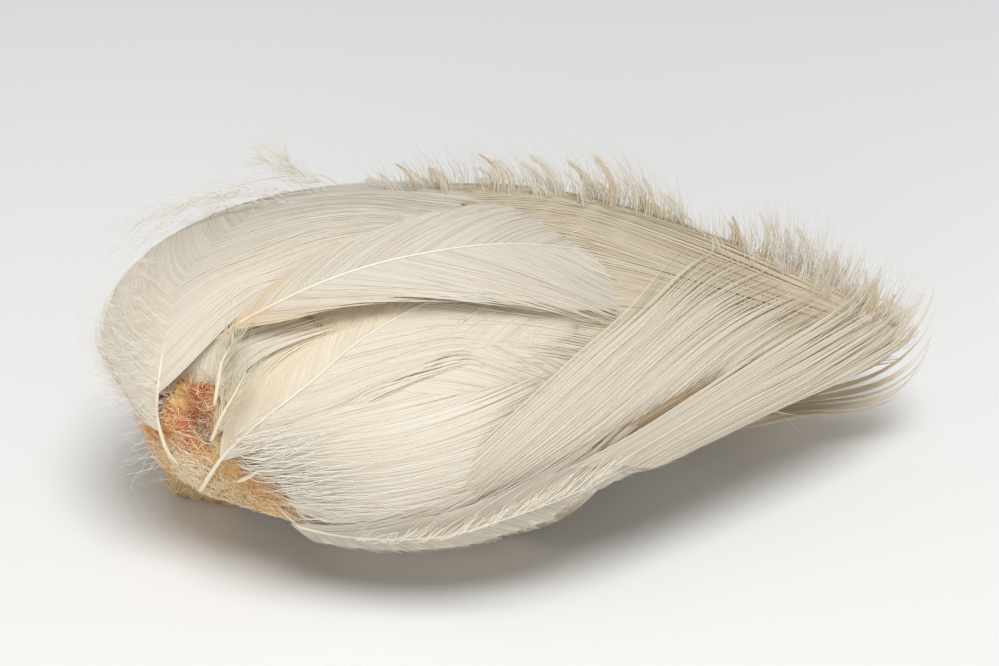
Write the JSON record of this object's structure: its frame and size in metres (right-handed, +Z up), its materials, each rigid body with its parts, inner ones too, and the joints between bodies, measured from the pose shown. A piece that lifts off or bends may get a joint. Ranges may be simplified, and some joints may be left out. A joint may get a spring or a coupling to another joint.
{
  "type": "white feather tuft on dried skin",
  "caption": "Tuft of overlapping white down-edged body feathers on a scrap of dried rust-stained skin, lying on a flat place.",
  "frame": {"origin": "middle of the tuft's box on the surface that it lies on", "axes": "+X along the tuft from the skin scrap towards the feather tips, +Z up"},
  "size_m": [0.1172, 0.0642, 0.0487],
  "materials": {
    "feather": "soft silky sheen",
    "quill": "satin horn",
    "skin": "dried, rough"
  },
  "bodies": {
    "root": {"left_feather": "feather", "lifted_feather": "feather", "middle_feather": "feather", "inner_feather": "feather", "front_feather": "feather", "bottom_front_feather": "feather", "tail_feather": "feather", "crest_feather": "feather", "back_feather": "feather", "back_left_plume": "feather", "under_front_feather": "feather", "under_back_feather": "feather", "left_under_feather": "feather", "upper_small_quill": "quill", "lower_small_quill": "quill", "skin_scrap": "skin"}
  },
  "joints": []
}
